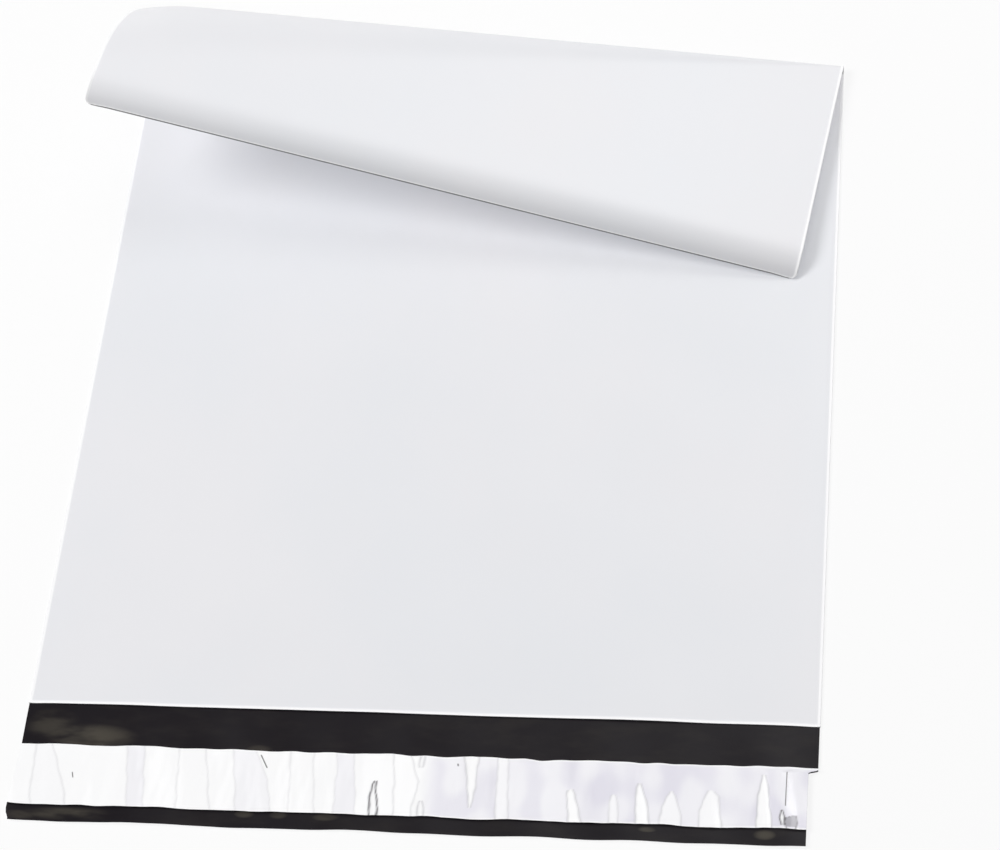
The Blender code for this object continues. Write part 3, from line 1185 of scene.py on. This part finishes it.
def paper():
    finish = Finish("paper")
    looked_along = 0.0
    for kind in ("Is Camera Ray", "Is Glossy Ray", "Is Transmission Ray"):
        looked_along = looked_along + finish.node("ShaderNodeLightPath", output=kind)
    matt = finish.node("ShaderNodeBsdfDiffuse", None, {"Color": (PAPER, PAPER, PAPER, 1.0)})
    white = finish.node("ShaderNodeEmission", None, {"Strength": 1.0})
    sockets = {0: looked_along * PAPER_GLOW, 1: matt, 2: white}
    return finish.close(finish.node("ShaderNodeMixShader", None, sockets))


def make_sweep():
    turns = np.arange(SWEEP_SIDES) * 2 * math.pi / SWEEP_SIDES
    rings = [(r * np.cos(turns), r * np.sin(turns), np.full(SWEEP_SIDES, z)) for r, z in SWEEP_PROFILE[1:]]
    points = [(0.0, 0.0, 0.0)] + [tuple(point) for ring in rings for point in np.stack(ring, axis=-1)]
    faces = []
    for side in range(SWEEP_SIDES):
        after = (side + 1) % SWEEP_SIDES
        faces.append((0, 1 + side, 1 + after))
        for ring in range(len(rings) - 1):
            low, high = 1 + ring * SWEEP_SIDES, 1 + (ring + 1) * SWEEP_SIDES
            faces.append((low + side, high + side, high + after, low + after))
    mesh = bpy.data.meshes.new("sweep")
    mesh.from_pydata(points, [], faces)
    mesh.materials.append(paper())
    mesh.shade_smooth()
    sweep = put_in_scene("sweep", mesh)
    sweep.location = (0.0, MIDDLE_Y, -FLOOR_DROP)
    return sweep


make_sweep()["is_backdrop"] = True
print("the paper is", 2 * SWEEP_PROFILE[-1][0], "m across")

# %% [markdown]
# ## Light
# Four lights share the work. A soft one high on the left, on the camera's side, throws the roll's
# short shadow back under it and to the right. A second stands beyond the closed end, lower, so that
# the lip, which turns away from it, goes grey. That one casts no shadow, or the front panel would go
# grey as well. A weak third, higher up, does cast one, and darkens the panel just under the
# roll's free edge. The room's even light fills the rest and is kept low, because black film shows
# whatever it faces.

# %% Lamps
ROOM_LIGHT = 0.27
LAMP_SIZE = 1.1
LEFT_LAMP = {"heading": -105.0, "height": 50.0, "distance": 2.4, "power": 31.0}
BACK_LAMP = {"heading": 28.0, "height": 45.0, "distance": 2.2, "power": 18.5}
HIGH_LAMP = {"heading": 5.0, "height": 66.0, "distance": 2.2, "power": 5.0}

scene = bpy.context.scene
world = bpy.data.worlds.new("room")
world.use_nodes = True
background = world.node_tree.nodes["Background"].inputs
background["Color"].default_value = (1.0, 1.0, 1.0, 1.0)
background["Strength"].default_value = ROOM_LIGHT
scene.world = world
scene.view_settings.view_transform = "Standard"

bag_middle = Vector((0.0, MIDDLE_Y, 0.0))


def soft_lamp(name, heading, height, distance, power, shadow=True):
    """A round lamp that faces the bag. Heading 0 is beyond the closed end, 90 is the right side."""
    around, rise = math.radians(heading), math.radians(height)
    level = math.cos(rise)
    direction = Vector((math.sin(around) * level, math.cos(around) * level, math.sin(rise)))
    data = bpy.data.lights.new(name, "AREA")
    data.shape = "DISK"
    data.size = LAMP_SIZE
    data.energy = power
    data.use_shadow = shadow
    lamp = put_in_scene(name, data)
    lamp.location = bag_middle + distance * direction
    lamp.rotation_euler = direction.to_track_quat("Z", "Y").to_euler()
    lamp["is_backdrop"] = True
    return lamp


lamps = (
    soft_lamp("left_lamp", **LEFT_LAMP),
    soft_lamp("high_lamp", **HIGH_LAMP),
    soft_lamp("back_lamp", **BACK_LAMP, shadow=False),
)
for lamp in lamps:
    print(lamp.name, [round(value, 2) for value in lamp.location])

# %% [markdown]
# The camera looks down from the mouth side with a long lens, so the bag's sides stay nearly
# parallel. It is rolled a few degrees, which is why the bag stands aslant in the picture.

# %% Camera
VIEW_HEADING = math.radians(11.113)
VIEW_HEIGHT = math.radians(53.179)
VIEW_ROLL = math.radians(-7.739)
VIEW_DISTANCE = 1.3959
VIEW_TARGET = Vector((0.0191, 0.1386, 0.0))
LENS = 123.96

back = Vector((
    math.sin(VIEW_HEADING) * math.cos(VIEW_HEIGHT),
    -math.cos(VIEW_HEADING) * math.cos(VIEW_HEIGHT),
    math.sin(VIEW_HEIGHT),
))
level = Vector((0, 0, 1)).cross(back).normalized()
upright = back.cross(level)
right = math.cos(VIEW_ROLL) * level + math.sin(VIEW_ROLL) * upright
up = -math.sin(VIEW_ROLL) * level + math.cos(VIEW_ROLL) * upright

camera_data = bpy.data.cameras.new("camera")
camera_data.sensor_width = 36.0
camera_data.lens = LENS
camera = put_in_scene("camera", camera_data)
turn = Matrix((right, up, back)).transposed().to_4x4()
camera.matrix_world = Matrix.Translation(VIEW_TARGET + VIEW_DISTANCE * back) @ turn
camera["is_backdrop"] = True
scene.camera = camera
print("camera at", [round(value, 3) for value in camera.location])

# %% [markdown]
# ## Check the size
# The finished bag has to stay as big as the engineering model, or nothing else in a set would fit
# round it. How far each corner of the box moved is printed in millimetres.

# %% Compare the boxes
own_box = [list(corner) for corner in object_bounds()]
for before, after in zip(cad_box, own_box):
    print("moved by mm", [round(1000 * (b - a), 2) for a, b in zip(before, after)])
